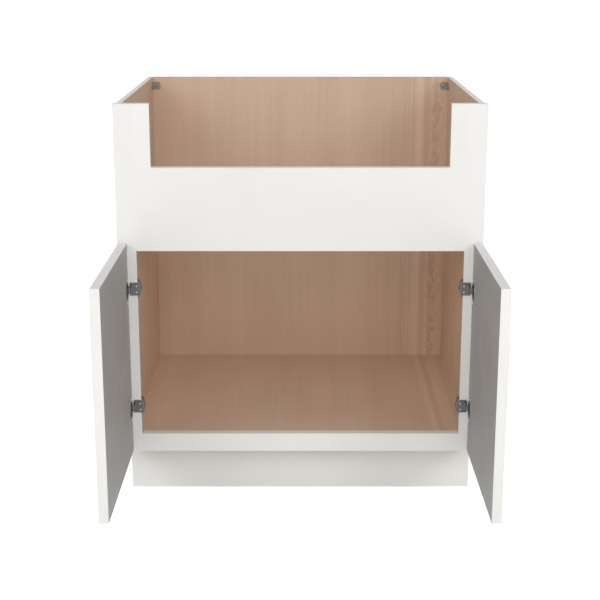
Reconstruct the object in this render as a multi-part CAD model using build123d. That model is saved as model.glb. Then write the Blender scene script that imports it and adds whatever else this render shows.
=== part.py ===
from build123d import *
import os

# Apron-front sink base cabinet, 30 inches wide, with its two doors standing open at 90 degrees.
# Millimetres. X runs to the right, Y runs from the front of the face frame towards the wall, Z is up.
# Pieces are drawn with Y = 0 in the plane of the face frame's front. The finished nodes are then set
# back to the wall datum: the origin is on the floor, in the middle of the width, in the wall's plane.

# ---- carcass ---------------------------------------------------------------------------------
FRAME_WIDTH = 762.0            # across the outer edges of the two stiles
CABINET_HEIGHT = 863.6         # floor to the top of the frame and side panels
CABINET_DEPTH = 609.6          # front of the face frame to the wall
FRAME_THICKNESS = 19.05
STILE_WIDTH = 40.0
STILE_OVERHANG = 5.4           # stile's outer edge beyond the outside of the side panel
STILE_GROOVE_DEPTH = 5.0       # groove in the stile's back that takes the side panel
SIDE_THICKNESS = 12.0
BOTTOM_RAIL_HEIGHT = 40.3
APRON_HEIGHT = 174.6           # apron between the sink cut-out and the door opening
TENON_LENGTH = 12.0
TENON_THICKNESS = 6.4
TENON_SHOULDER = 8.0
JOINT_FIT = 0.1                # slack of a tenon, tongue or panel in its groove
EDGE_ROUND = 0.8               # eased edges of the painted frame

# ---- sink cut-out ----------------------------------------------------------------------------
CUTOUT_WIDTH = 612.0
CUTOUT_DEPTH = 130.2
CUTOUT_CORNER_RADIUS = 3.0

# ---- floor, back and toe kick ----------------------------------------------------------------
FLOOR_THICKNESS = 12.0
FLOOR_DROP = 4.5               # floor's top below the top of the bottom rail
FLOOR_DADO_DEPTH = 5.0
BACK_THICKNESS = 12.0
BACK_GROOVE_DEPTH = 6.0
BACK_SETBACK = 12.0            # wall to the rear face of the back panel
WALL_RAIL_HEIGHT = 89.0
TOE_HEIGHT = 115.0
TOE_RECESS = 75.0              # front of the face frame to the toe-kick face
TOE_FACE_THICKNESS = 5.2
TOE_BOARD_THICKNESS = 12.0

# ---- doors -----------------------------------------------------------------------------------
DOOR_THICKNESS = 19.05
DOOR_REVEAL = 2.8              # closed door's hinge edge inside the stile's outer edge
DOOR_MEETING_GAP = 2.4         # between the two closed doors
DOOR_OVERLAY_TOP = 17.4
DOOR_OVERLAY_BOTTOM = 35.8
DOOR_GAP = 4.6                 # closed door's back to the front of the frame
DOOR_EDGE_ROUND = 1.2

# ---- hinges ----------------------------------------------------------------------------------
PIVOT_DEPTH = 9.2              # door's back face to the hinge pin's axis
PIVOT_SETBACK = 9.0            # door's hinge edge to the hinge pin's axis
HINGE_END_DISTANCE = 98.5      # door's end to the middle of the hinge
CUP_DIAMETER = 35.0
CUP_DEPTH = 13.2
CUP_SETBACK = 20.5             # door's hinge edge to the middle of the cup
CUP_WALL = 1.0
CUP_FIT = 0.05                 # radial slack of the cup in its bore
FLANGE_THICKNESS = 1.0
FLANGE_RIM = 2.5               # flange beyond the cup's mouth
FLANGE_EAR_RADIUS = 6.5
CUP_SCREW_SPACING = 48.0
PLATE_THICKNESS = 1.2
PLATE_HEIGHT = 28.0            # leg across the stile's front
PLATE_REACH = 16.2             # how far that leg reaches across the stile
PLATE_CORNER = 1.5
PLATE_BEND = 1.0               # outside radius of the bend between the two legs
EDGE_LEG_CORNER = 5.0
EDGE_LEG_HEIGHT = 40.0         # leg along the stile's inner edge
EDGE_LEG_DEPTH = 16.0
CROWN_LENGTH = 38.0            # pressed crown of the edge leg, over the depth cam
CROWN_RISE = 5.4
CROWN_DEPTH = 12.0
CROWN_ROUND = 2.4              # rounding of the crown's two curved edges
WELL_RADIUS = 3.9              # wells pressed into the crown for the edge leg's screws
ARM_THICKNESS = 1.5
ARM_WIDTH = 12.0
ARM_FOOT_WIDTH = 18.0
ARM_FOOT_OVERHANG = 0.6        # arm's foot beyond the stile's inner edge
ARM_RISER_INSET = 13.5         # stile's inner edge to the middle of the arm's riser
ARM_BEND_RADIUS = 1.6
KNUCKLE_WIDTH = 10.0
KNUCKLE_RADIUS = 2.6
PIN_RADIUS = 1.4
PIN_RUNNING_FIT = 0.05
PIN_SEAT_FIT = 0.02
RIVET_RADIUS = 1.3
RIVET_SPACING = 13.0
RIVET_INSET = 2.0              # stile's inner edge to the rivets
CAM_HEAD_RADIUS = 3.4
CAM_HEAD_THICKNESS = 1.2
CAM_SHANK_RADIUS = 2.0
SPRING_THICKNESS = 0.8
SPRING_WIDTH = 9.0
SPRING_CLEARANCE = 0.5         # spring's tip to the closed hinge's arm
SPRING_FOOT_LENGTH = 6.5
SPRING_RISE = 5.5
SPRING_LEAN = 2.5

# ---- corner brackets and screws --------------------------------------------------------------
BRACKET_HEIGHT = 18.5
BRACKET_LEG = 20.5
BRACKET_POINT = 3.2            # length of the pointed end
BRACKET_THICKNESS = 1.6
BRACKET_DROP = 11.0            # below the top of the cabinet
SCREW_SHANK_RADIUS = 1.9
SCREW_HEAD_RADIUS = 3.4
SCREW_HEAD_THICKNESS = 1.4
HINGE_SCREW_LENGTH = 14.0
BRACKET_SCREW_LENGTH = 9.0
SCREW_FIT = 0.02
EDGE_SCREW_SPACING = 25.0

SAME_PLACE = 0.01              # two places nearer than this are one
OVERSHOOT = 1.0                # how far the cut-out's cutter passes the board

# ---- places worked out from the sizes --------------------------------------------------------
frame_edge = FRAME_WIDTH / 2
stile_inner = frame_edge - STILE_WIDTH
side_outer = frame_edge - STILE_OVERHANG
side_inner = side_outer - SIDE_THICKNESS
side_front = FRAME_THICKNESS - STILE_GROOVE_DEPTH
rail_top = TOE_HEIGHT + BOTTOM_RAIL_HEIGHT
cutout_bottom = CABINET_HEIGHT - CUTOUT_DEPTH
opening_top = cutout_bottom - APRON_HEIGHT
floor_top = rail_top - FLOOR_DROP
floor_bottom = floor_top - FLOOR_THICKNESS
back_rear = CABINET_DEPTH - BACK_SETBACK
back_front = back_rear - BACK_THICKNESS
toe_face_back = TOE_RECESS + TOE_FACE_THICKNESS
bracket_middle = CABINET_HEIGHT - BRACKET_DROP - BRACKET_HEIGHT / 2

door_bottom = rail_top - DOOR_OVERLAY_BOTTOM
door_top = opening_top + DOOR_OVERLAY_TOP
door_width = frame_edge - DOOR_REVEAL - DOOR_MEETING_GAP / 2
pivot_x = frame_edge - DOOR_REVEAL - PIVOT_SETBACK
pivot_y = -(DOOR_GAP + PIVOT_DEPTH)
door_inner = pivot_x - PIVOT_DEPTH
door_outer = door_inner + DOOR_THICKNESS
door_hinge_edge = pivot_y + PIVOT_SETBACK
door_free_edge = door_hinge_edge - door_width
hinge_heights = {
    "upper": door_top - HINGE_END_DISTANCE,
    "lower": door_bottom + HINGE_END_DISTANCE,
}

cup_y = door_hinge_edge - CUP_SETBACK
cup_radius = CUP_DIAMETER / 2 - CUP_FIT
cup_bottom = door_inner + CUP_DEPTH - CUP_FIT
crown_top = stile_inner - PLATE_THICKNESS - CROWN_RISE
edge_leg_middle = FRAME_THICKNESS / 2


# ---- helpers ---------------------------------------------------------------------------------
def block(x0, x1, y0, y1, z0, z1):
    """A box from its lowest and highest corners."""
    middle = Pos((x0 + x1) / 2, (y0 + y1) / 2, (z0 + z1) / 2)
    return middle * Box(x1 - x0, y1 - y0, z1 - z0)


def rod_x(radius, x0, x1, y, z):
    """A round bar along X."""
    return Pos((x0 + x1) / 2, y, z) * Rot(0, 90, 0) * Cylinder(radius, x1 - x0)


def rod_y(radius, y0, y1, x, z):
    """A round bar along Y."""
    return Pos(x, (y0 + y1) / 2, z) * Rot(90, 0, 0) * Cylinder(radius, y1 - y0)


def rod_z(radius, z0, z1, x, y):
    """A round bar along Z."""
    return Pos(x, y, (z0 + z1) / 2) * Cylinder(radius, z1 - z0)


def strip(points, thickness, width, bend_radius):
    """A bent strip: its middle line through points in plan, its width along Z."""
    middle_line = FilletPolyline(*points, radius=bend_radius)
    outline = trace(middle_line, line_width=thickness)
    return extrude(outline, amount=width / 2, both=True)


def mirrored(shape):
    """The left-hand twin of a right-hand piece."""
    return mirror(shape, about=Plane.YZ)


def edges_at(shape, axis, **where):
    """Edges along one axis whose middle lies at the given coordinates."""
    def is_there(edge):
        middle = edge.center()
        return all(abs(getattr(middle, name) - value) < SAME_PLACE for name, value in where.items())
    return shape.edges().filter_by(axis).filter_by(is_there)


# ---- face frame ------------------------------------------------------------------------------
def tenon(z0, z1, slack=0.0):
    """Both stub tenons of a rail, as one bar from stile to stile."""
    reach = stile_inner + TENON_LENGTH + slack
    half = TENON_THICKNESS / 2 + slack
    middle = FRAME_THICKNESS / 2
    low = z0 + TENON_SHOULDER - slack
    high = z1 - TENON_SHOULDER + slack
    return block(-reach, reach, middle - half, middle + half, low, high)


def right_stile():
    stile = block(stile_inner, frame_edge, 0, FRAME_THICKNESS, TOE_HEIGHT, CABINET_HEIGHT)
    outer_edge = edges_at(stile, Axis.Z, X=frame_edge, Y=0)
    stile = fillet(outer_edge, EDGE_ROUND)
    stile -= eased_inner_edge()
    stile -= block(side_inner - JOINT_FIT, side_outer, side_front, FRAME_THICKNESS,
                   TOE_HEIGHT, CABINET_HEIGHT)
    stile -= tenon(TOE_HEIGHT, rail_top, JOINT_FIT)
    stile -= tenon(opening_top, CABINET_HEIGHT, JOINT_FIT)
    for height in hinge_heights.values():
        for screw in edge_leg_screws(SCREW_FIT):
            stile -= Pos(0, 0, height) * screw
    return stile


def eased_inner_edge():
    """What easing takes off the stile's front edge beside the door opening."""
    corner = block(stile_inner, stile_inner + EDGE_ROUND, 0, EDGE_ROUND, rail_top, opening_top)
    return corner - rod_z(EDGE_ROUND, rail_top, opening_top, stile_inner + EDGE_ROUND, EDGE_ROUND)


def eased_front(board):
    """A rail between the stiles with the front edges that are left open to the hand eased."""
    front_edges = board.faces().sort_by(Axis.Y)[0].edges()
    def is_open(edge):
        middle = edge.center()
        against_stile = abs(middle.X) > stile_inner - SAME_PLACE
        under_countertop = middle.Z > CABINET_HEIGHT - SAME_PLACE
        return not (against_stile or under_countertop)
    return fillet(front_edges.filter_by(is_open), EDGE_ROUND)


def apron():
    board = block(-stile_inner, stile_inner, 0, FRAME_THICKNESS, opening_top, CABINET_HEIGHT)
    half = CUTOUT_WIDTH / 2
    cutter = block(-half, half, -OVERSHOOT, FRAME_THICKNESS + OVERSHOOT,
                   cutout_bottom, CABINET_HEIGHT + OVERSHOOT)
    corners = cutter.edges().filter_by(Axis.Y).group_by(Axis.Z)[0]
    board -= fillet(corners, CUTOUT_CORNER_RADIUS)
    board = eased_front(board)
    board += tenon(opening_top, CABINET_HEIGHT) & tenon_length_limit()
    return board


def tenon_length_limit():
    """Keeps what a rail's tenon bar has outside the rail itself."""
    reach = stile_inner + TENON_LENGTH
    everything = block(-reach, reach, 0, FRAME_THICKNESS, 0, CABINET_HEIGHT)
    return everything - block(-stile_inner, stile_inner, 0, FRAME_THICKNESS, 0, CABINET_HEIGHT)


def bottom_rail():
    rail = block(-stile_inner, stile_inner, 0, FRAME_THICKNESS, TOE_HEIGHT, rail_top)
    rail = eased_front(rail)
    rail += tenon(TOE_HEIGHT, rail_top) & tenon_length_limit()
    return rail


# ---- carcass panels --------------------------------------------------------------------------
def right_side_panel():
    panel = block(side_inner, side_outer, side_front, CABINET_DEPTH, 0, CABINET_HEIGHT)
    panel -= block(side_inner, side_outer, side_front, toe_face_back, 0, TOE_HEIGHT)
    panel -= block(side_inner, side_inner + FLOOR_DADO_DEPTH, FRAME_THICKNESS, back_front,
                   floor_bottom, floor_top)
    panel -= block(side_inner, side_inner + BACK_GROOVE_DEPTH, back_front, back_rear,
                   0, CABINET_HEIGHT)
    for screw in bracket_screws_right(SCREW_FIT):
        panel -= screw
    return panel


def floor_panel():
    reach = side_inner + FLOOR_DADO_DEPTH - JOINT_FIT
    return block(-reach, reach, FRAME_THICKNESS, back_front, floor_bottom, floor_top)


def back_panel():
    reach = side_inner + BACK_GROOVE_DEPTH - JOINT_FIT
    panel = block(-reach, reach, back_front, back_rear, 0, CABINET_HEIGHT)
    for screw in bracket_screws_right(SCREW_FIT):
        panel -= screw
        panel -= mirrored(screw)
    return panel


def wall_rail(z0):
    return block(-side_inner, side_inner, back_rear, CABINET_DEPTH, z0, z0 + WALL_RAIL_HEIGHT)


def toe_face():
    return block(-side_outer, side_outer, TOE_RECESS, toe_face_back, 0, TOE_HEIGHT)


def toe_board():
    return block(-side_inner, side_inner, toe_face_back, toe_face_back + TOE_BOARD_THICKNESS,
                 0, floor_bottom)


# ---- doors -----------------------------------------------------------------------------------
def right_door():
    door = block(door_inner, door_outer, door_free_edge, door_hinge_edge, door_bottom, door_top)
    door = fillet(door.edges(), DOOR_EDGE_ROUND)
    for height in hinge_heights.values():
        bore = rod_x(CUP_DIAMETER / 2, door_inner, door_inner + CUP_DEPTH, cup_y, height)
        door -= bore
        for screw in cup_screws(SCREW_FIT):
            door -= Pos(0, 0, height) * screw
    return door


# ---- hinge: right-hand, with its middle at Z = 0 ---------------------------------------------
def hinge_plate():
    """Pressed plate that wraps round the stile: front leg, edge leg and the crown over the cam."""
    corner_x = stile_inner - PLATE_THICKNESS
    front_leg = block(corner_x, stile_inner + PLATE_REACH, -PLATE_THICKNESS, 0,
                      -PLATE_HEIGHT / 2, PLATE_HEIGHT / 2)
    front_corners = front_leg.edges().filter_by(Axis.Y).group_by(Axis.X)[-1]
    front_leg = chamfer(front_corners, PLATE_CORNER)
    bend = edges_at(front_leg, Axis.Z, X=corner_x, Y=-PLATE_THICKNESS)
    front_leg = fillet(bend, PLATE_BEND)
    edge_leg = block(corner_x, stile_inner, 0, EDGE_LEG_DEPTH,
                     -EDGE_LEG_HEIGHT / 2, EDGE_LEG_HEIGHT / 2)
    leg_corners = edge_leg.edges().filter_by(Axis.X)
    edge_leg = fillet(leg_corners, EDGE_LEG_CORNER)
    plate = front_leg + edge_leg + crown(0)
    plate -= crown(PLATE_THICKNESS) - screw_wells(PLATE_THICKNESS)
    plate -= screw_wells(0) & block(crown_top, corner_x, 0, EDGE_LEG_DEPTH,
                                    -CROWN_LENGTH / 2, CROWN_LENGTH / 2)
    plate = keep_clear_of_stile(plate)
    plate -= cam_screw(SCREW_FIT)
    for screw in edge_leg_screws(SCREW_FIT):
        plate -= screw
    for rivet in arm_rivets(SCREW_FIT):
        plate -= rivet
    return plate


def crown(inset):
    """Rounded crown on the edge leg: a segment of a round bar lying along Y."""
    rise = CROWN_RISE
    half = CROWN_LENGTH / 2
    bar_radius = (half ** 2 + rise ** 2) / (2 * rise)
    surface = stile_inner - PLATE_THICKNESS
    bar_centre = surface - rise + bar_radius
    y0 = edge_leg_middle - CROWN_DEPTH / 2 + inset
    y1 = edge_leg_middle + CROWN_DEPTH / 2 - inset
    bar = rod_y(bar_radius - inset, y0, y1, bar_centre, 0)
    bar = fillet(bar.edges().filter_by(GeomType.CIRCLE), CROWN_ROUND - inset)
    reach = block(surface - rise, stile_inner, y0, y1, -half, half)
    return bar & reach


def screw_wells(wall):
    """The two wells in the crown, or with a wall's thickness the metal round them."""
    half = EDGE_SCREW_SPACING / 2
    wells = [rod_x(WELL_RADIUS + wall, crown_top, stile_inner, edge_leg_middle, z)
             for z in (-half, half)]
    return wells[0] + wells[1]


def keep_clear_of_stile(plate):
    stile_space = block(stile_inner, frame_edge, 0, FRAME_THICKNESS,
                        -EDGE_LEG_HEIGHT, EDGE_LEG_HEIGHT)
    return plate - stile_space


def hinge_arm():
    """Bent strip from its foot on the plate to the knuckle on the pin, inside the cup."""
    foot_y = -PLATE_THICKNESS - ARM_THICKNESS / 2
    riser_x = stile_inner + ARM_RISER_INSET
    neck_y = pivot_y - KNUCKLE_RADIUS + ARM_THICKNESS / 2
    foot_start = stile_inner - ARM_FOOT_OVERHANG
    path = [(foot_start, foot_y), (riser_x, foot_y), (riser_x, neck_y), (pivot_x, neck_y)]
    neck = strip(path, ARM_THICKNESS, ARM_WIDTH, ARM_BEND_RADIUS)
    half_knuckle = KNUCKLE_WIDTH / 2
    for side in (-1, 1):
        neck -= block(pivot_x - KNUCKLE_RADIUS, pivot_x, pivot_y - KNUCKLE_RADIUS, pivot_y,
                      *sorted((side * half_knuckle, side * ARM_WIDTH)))
    foot_half = ARM_FOOT_WIDTH / 2
    foot_end = riser_x - ARM_THICKNESS / 2 - ARM_BEND_RADIUS
    foot = block(foot_start, foot_end, -PLATE_THICKNESS - ARM_THICKNESS, -PLATE_THICKNESS,
                 -foot_half, foot_half)
    foot = fillet(foot.edges().filter_by(Axis.Y), ARM_BEND_RADIUS)
    arm = neck + foot + rod_z(KNUCKLE_RADIUS, -half_knuckle, half_knuckle, pivot_x, pivot_y)
    arm -= rod_z(PIN_RADIUS + PIN_RUNNING_FIT, -ARM_WIDTH, ARM_WIDTH, pivot_x, pivot_y)
    for rivet in arm_rivets(SCREW_FIT):
        arm -= rivet
    return arm


def hinge_cup():
    """Pressed cup with its two-eared flange, open towards the cabinet."""
    flange_face = door_inner - FLANGE_THICKNESS
    body = rod_x(cup_radius, flange_face, cup_bottom, cup_y, 0)
    rim = rod_x(cup_radius + FLANGE_RIM, flange_face, door_inner, cup_y, 0)
    cup = body + rim
    half_spacing = CUP_SCREW_SPACING / 2
    ear_span = block(flange_face, door_inner, cup_y - FLANGE_EAR_RADIUS, cup_y + FLANGE_EAR_RADIUS,
                     -half_spacing, half_spacing)
    cup += ear_span
    for end in (-half_spacing, half_spacing):
        cup += rod_x(FLANGE_EAR_RADIUS, flange_face, door_inner, cup_y, end)
    cup -= rod_x(cup_radius - CUP_WALL, flange_face, cup_bottom - CUP_WALL, cup_y, 0)
    cup -= hinge_pin(PIN_SEAT_FIT)
    for screw in cup_screws(SCREW_FIT):
        cup -= screw
    return cup


def hinge_pin(slack=0.0):
    """Pin across the cup, its ends dressed flush with the outside of the cup's wall."""
    bar = rod_z(PIN_RADIUS + slack, -CUP_DIAMETER, CUP_DIAMETER, pivot_x, pivot_y)
    return bar & rod_x(cup_radius, door_inner, cup_bottom, cup_y, 0)


def closing_spring():
    """Leaf on the cup's floor whose raised tip bears on the closed hinge's arm."""
    floor_x = cup_bottom - CUP_WALL - SPRING_THICKNESS / 2
    arm_reach = pivot_x - (stile_inner + ARM_RISER_INSET - ARM_THICKNESS / 2)
    tip_y = pivot_y - arm_reach - SPRING_CLEARANCE - SPRING_THICKNESS
    foot_y = tip_y - SPRING_LEAN
    path = [(floor_x, foot_y - SPRING_FOOT_LENGTH), (floor_x, foot_y), (floor_x - SPRING_RISE, tip_y)]
    return strip(path, SPRING_THICKNESS, SPRING_WIDTH, ARM_BEND_RADIUS)


def arm_rivets(slack=0.0):
    """Two flush rivets that hold the arm's foot on the plate."""
    face = -PLATE_THICKNESS - ARM_THICKNESS
    x = stile_inner + RIVET_INSET
    half = RIVET_SPACING / 2
    return [rod_y(RIVET_RADIUS + slack, face, 0, x, z) for z in (-half, half)]


def cam_screw(slack=0.0):
    """Depth-adjusting cam: a flat head on the crown and a shank down to the stile."""
    y = edge_leg_middle
    head = rod_x(CAM_HEAD_RADIUS, crown_top - CAM_HEAD_THICKNESS, crown_top, y, 0)
    shank = rod_x(CAM_SHANK_RADIUS + slack, crown_top, stile_inner, y, 0)
    return head + shank


def wood_screw(radius_slack, length):
    """A screw along +X with the underside of its head at X = 0."""
    head = rod_x(SCREW_HEAD_RADIUS, -SCREW_HEAD_THICKNESS, 0, 0, 0)
    head = fillet(head.edges().group_by(Axis.X)[0], SCREW_HEAD_THICKNESS / 2)
    shank = rod_x(SCREW_SHANK_RADIUS + radius_slack, 0, length + radius_slack, 0, 0)
    return head + shank


def edge_leg_screws(slack=0.0):
    half = EDGE_SCREW_SPACING / 2
    seat_x = stile_inner - PLATE_THICKNESS
    screw = wood_screw(slack, HINGE_SCREW_LENGTH)
    return [Pos(seat_x, edge_leg_middle, z) * screw for z in (-half, half)]


def cup_screws(slack=0.0):
    half = CUP_SCREW_SPACING / 2
    seat_x = door_inner - FLANGE_THICKNESS
    screw = wood_screw(slack, HINGE_SCREW_LENGTH)
    return [Pos(seat_x, cup_y, z) * screw for z in (-half, half)]


# ---- corner brackets -------------------------------------------------------------------------
def bracket_leg():
    """One leg of the angle, lying along +X with its heel at the origin: a bar with a pointed end."""
    half = BRACKET_HEIGHT / 2
    shoulder = BRACKET_LEG - BRACKET_POINT
    outline = Polyline((0, -half), (shoulder, -half), (BRACKET_LEG, 0), (shoulder, half),
                       (0, half), (0, -half))
    leg = extrude(Plane.XZ * make_face(outline), amount=BRACKET_THICKNESS)
    return leg


def right_bracket():
    """Steel angle in the top back corner, one leg on the back panel and one on the side panel."""
    on_back = mirrored(bracket_leg())
    on_side = Rot(0, 0, -90) * bracket_leg()
    at_corner = Pos(side_inner, back_front, bracket_middle)
    bracket = at_corner * on_back + at_corner * on_side
    for screw in bracket_screws_right(SCREW_FIT):
        bracket -= screw
    return bracket


def bracket_screws_right(slack=0.0):
    screw = wood_screw(slack, BRACKET_SCREW_LENGTH)
    along = BRACKET_LEG / 2 + BRACKET_THICKNESS
    back_seat = back_front - BRACKET_THICKNESS
    into_back = Pos(side_inner - along, back_seat, bracket_middle) * Rot(0, 0, 90) * screw
    into_side = Pos(side_inner - BRACKET_THICKNESS, back_front - along, bracket_middle) * screw
    return [into_back, into_side]


# ---- assembly --------------------------------------------------------------------------------
def at_hinges(shapes):
    """Copies of right-hand hinge pieces at both heights on the right, as separate solids."""
    return [Pos(0, 0, height) * shape for height in hinge_heights.values() for shape in shapes]


def both_sides(shapes):
    return shapes + [mirrored(shape) for shape in shapes]


def carcass_nodes():
    stile = right_stile()
    side = right_side_panel()
    bracket = right_bracket()
    return {
        "stile_right": stile,
        "stile_left": mirrored(stile),
        "apron_board": apron(),
        "bottom_rail": bottom_rail(),
        "side_panel_right": side,
        "side_panel_left": mirrored(side),
        "floor_panel": floor_panel(),
        "back_panel": back_panel(),
        "wall_rail_top": wall_rail(CABINET_HEIGHT - WALL_RAIL_HEIGHT),
        "wall_rail_bottom": wall_rail(0),
        "toe_kick_face": toe_face(),
        "toe_board": toe_board(),
        "corner_bracket_right": bracket,
        "corner_bracket_left": mirrored(bracket),
    }


def hinge_nodes():
    pieces = {
        "hinge_plate": hinge_plate(),
        "hinge_arm": hinge_arm(),
        "hinge_cup": hinge_cup(),
        "hinge_pin": hinge_pin(),
        "closing_spring": closing_spring(),
    }
    nodes = {}
    for name, piece in pieces.items():
        for level, height in hinge_heights.items():
            placed = Pos(0, 0, height) * piece
            nodes[f"{name}_right_{level}"] = placed
            nodes[f"{name}_left_{level}"] = mirrored(placed)
    return nodes


def door_nodes():
    door = right_door()
    return {"door_right": door, "door_left": mirrored(door)}


def fastener_nodes():
    screws_in_right_door = at_hinges(cup_screws())
    return {
        "arm_rivets": Compound(children=both_sides(at_hinges(arm_rivets()))),
        "depth_cam_screws": Compound(children=both_sides(at_hinges([cam_screw()]))),
        "hinge_plate_screws": Compound(children=both_sides(at_hinges(edge_leg_screws()))),
        "cup_screws_right": Compound(children=screws_in_right_door),
        "cup_screws_left": Compound(children=[mirrored(s) for s in screws_in_right_door]),
        "bracket_screws": Compound(children=both_sides(bracket_screws_right())),
    }


def main():
    os.makedirs("parts", exist_ok=True)
    to_wall_datum = Pos(0, -CABINET_DEPTH, 0)
    nodes = {**carcass_nodes(), **door_nodes(), **hinge_nodes(), **fastener_nodes()}
    for name, shape in nodes.items():
        export_step(to_wall_datum * shape, f"parts/{name}.step")
    axis_y = pivot_y - CABINET_DEPTH
    print(len(nodes), "nodes; hinge pins at X", round(pivot_x, 3), "Y", round(axis_y, 3))


main()
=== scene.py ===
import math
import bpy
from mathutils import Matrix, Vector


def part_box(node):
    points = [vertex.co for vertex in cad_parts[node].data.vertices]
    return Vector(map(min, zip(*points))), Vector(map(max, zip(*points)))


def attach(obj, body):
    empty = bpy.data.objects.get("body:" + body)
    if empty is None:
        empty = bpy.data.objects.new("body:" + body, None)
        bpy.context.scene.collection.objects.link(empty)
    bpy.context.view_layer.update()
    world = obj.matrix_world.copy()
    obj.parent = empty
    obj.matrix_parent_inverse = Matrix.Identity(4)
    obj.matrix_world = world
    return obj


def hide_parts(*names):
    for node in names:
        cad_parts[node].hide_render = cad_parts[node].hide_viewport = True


bl_info = {
    "name": "Sink Base Cabinet",
    "version": (1, 0, 0),
    "blender": (4, 5, 0),
    "location": "3D View > Sidebar > Cabinet",
    "description": "Finishes, fasteners and studio for an apron-front sink base cabinet",
    "category": "Object",
}

from functools import cache

import bmesh
import bpy
from mathutils import Euler, Vector

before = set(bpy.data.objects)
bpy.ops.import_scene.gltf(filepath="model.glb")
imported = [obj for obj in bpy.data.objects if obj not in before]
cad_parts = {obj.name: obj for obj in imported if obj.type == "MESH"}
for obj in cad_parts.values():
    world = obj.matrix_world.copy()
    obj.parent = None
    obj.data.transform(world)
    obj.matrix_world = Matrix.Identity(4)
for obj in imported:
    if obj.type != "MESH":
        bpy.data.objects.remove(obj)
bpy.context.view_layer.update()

SIDES = ("right", "left")
LEVELS = ("upper", "lower")
HINGES = [f"{side}_{level}" for side in SIDES for level in LEVELS]
PAIR = (-0.5, 0.5)         # a pair's two fasteners, in shares of the spacing between them
FORWARD = Vector((0, -1, 0))

# ---- surfaces: lengths in metres, and scales of noise in cycles per metre ----
FACE_EPSILON = 0.00025     # how near a surface point must be to count as on a face
WOOD_RELIEF = 0.00003      # height of the veneer's pores and of the sawn plies
METAL_RELIEF = 0.00001     # height of the drawing marks in plated steel
NOISE_SPAN = (0.3, 0.7)    # nearly all of a noise lies between these values
TINY = 0.00001             # keeps a divisor or the base of a power off nought

# The darkest and lightest patches of a finish, in shares of its colour.
PAINT_TONES = (0.965, 1.02)
# painted shade: patches of the grey that stands in for shade on the doors' inner faces
DOOR_BACK_SHADE_TONES = (0.9, 1.1)
PLATE_TONES = (0.8, 1.1)
# What the same patches add to its roughness.
PAINT_GLOSS = (-0.05, 0.07)
VENEER_GLOSS = (0.05, -0.05)
PLATE_GLOSS = (-0.08, 0.10)
DOOR_BACK_ROUGHNESS = 0.55

# Figure at the right of the back and floor: middle, half width and how much lighter it is.
# On the floor the fine and ragged bands fade, the bold ones run on and the plain ones join them.
FINE_BANDS = ((0.2284, 0.0030, -0.08), (0.2593, 0.0025, -0.09), (0.2690, 0.0022, -0.14),
              (0.2735, 0.0022, 0.10), (0.2785, 0.0022, -0.14), (0.2860, 0.0025, 0.08))
BOLD_BANDS = ((0.2965, 0.0095, 0.18), (0.3125, 0.0095, -0.15), (0.3235, 0.0060, 0.08))
PLAIN_BANDS = ((0.3350, 0.0110, 0.16), (0.3530, 0.0080, -0.12))
RAGGED_BANDS = ((0.3340, 0.0095, -0.30), (0.3490, 0.0100, 0.12))

# ---- fasteners' meshes ----
HEAD_SEGMENTS = 28         # faces round a head
HEAD_RINGS = 16            # rings of the ball that a head is pressed from
HEAD_BULGE = -0.35         # power that swells a head's profile out to its rim
HEAD_FLATNESS = 0.65       # power that flattens the top of its dome
SHANK_SEGMENTS = 20
SPIN_SEED = 5              # seed of the turn at which each fastener came to rest

# ---- studio: metres and degrees ----
LIGHT_TARGET = Vector((0, -0.6, 0.45))
LIGHT_DISTANCE = 4.5
WHITE = (1, 1, 1, 1)
# Square lamps: name, the setting that holds the power, turn from the front, height and side.
LAMPS = (("front_light", "front", 0, 8, 3.0), ("front_light_high", "front_high", 0, 30, 3.0),
         ("key_light_right", "key", 35, 25, 1.6), ("key_light_left", "key", -35, 25, 1.6))
SENSOR_WIDTH = 36.0        # of the camera, in millimetres
FLOOR_REACH = 60.0         # from the middle of the floor to its edge
LIFT_RANGE = (0.7, 2.0)    # between these distances the floor's lift grows to the far lift
FAR_LIFT = 0.85


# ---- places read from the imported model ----
def corners(node):
    """A node's lowest and highest corners."""
    low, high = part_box(node)
    return Vector(low), Vector(high)


def middle(node):
    low, high = corners(node)
    return (low + high) / 2


def towards(side):
    """From a side of the cabinet towards its middle."""
    return Vector((-1, 0, 0)) if side == "right" else Vector((1, 0, 0))


def inner_x(node, side):
    """X of a node's face that looks at the cabinet's middle."""
    low, high = corners(node)
    return low.x if side == "right" else high.x


# ---- settings ----
def colour(name, owner, default):
    return bpy.props.FloatVectorProperty(
        name=name, description=f"Colour of {owner}", default=default, subtype="COLOR", size=3,
        min=0, max=1)


def length(name, description, default):
    return bpy.props.FloatProperty(
        name=name, description=description, default=default, unit="LENGTH", subtype="DISTANCE",
        min=0, precision=5)


def power(name, description, default):
    return bpy.props.FloatProperty(
        name=name, description=description, default=default, unit="POWER", min=0)


def factor(name, description, default, top=1.0):
    return bpy.props.FloatProperty(
        name=name, description=description, default=default, subtype="FACTOR", min=0, max=top)


class PaintSettings(bpy.types.PropertyGroup):
    """Sprayed satin paint of the face frame, doors and toe kick."""
    coat: colour("Paint", "the satin paint", (0.822, 0.810, 0.783))
    worn: colour("Worn paint", "the paint along handled edges", (0.74, 0.735, 0.69))
    # painted shade: a grey that stands in for the shade on the doors' inner faces
    door_back_shade: colour("Door back shade", "the painted shade on the doors' inner faces", (0.348, 0.350, 0.346))
    # painted shade: a darker brownish colour laid on the frame's inner edges that face the middle
    inner_edge_shade: colour("Inner edge shade", "the painted shade on the frame's inner edges", (0.49, 0.435, 0.375))
    roughness: factor("Roughness", "Roughness of the dried paint", 0.42)
    wear: factor("Wear", "How much of the worn colour shows along the edges", 0.45)
    rubbing: factor("Rubbing", "How much of the worn colour shows on the rounded edges", 0.3)
    edge_width: length("Edge width", "How far the wear reaches from an edge", 0.0022)
    orange_peel: length("Orange peel", "Height of the sprayed paint's ripple", 0.00002)


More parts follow.
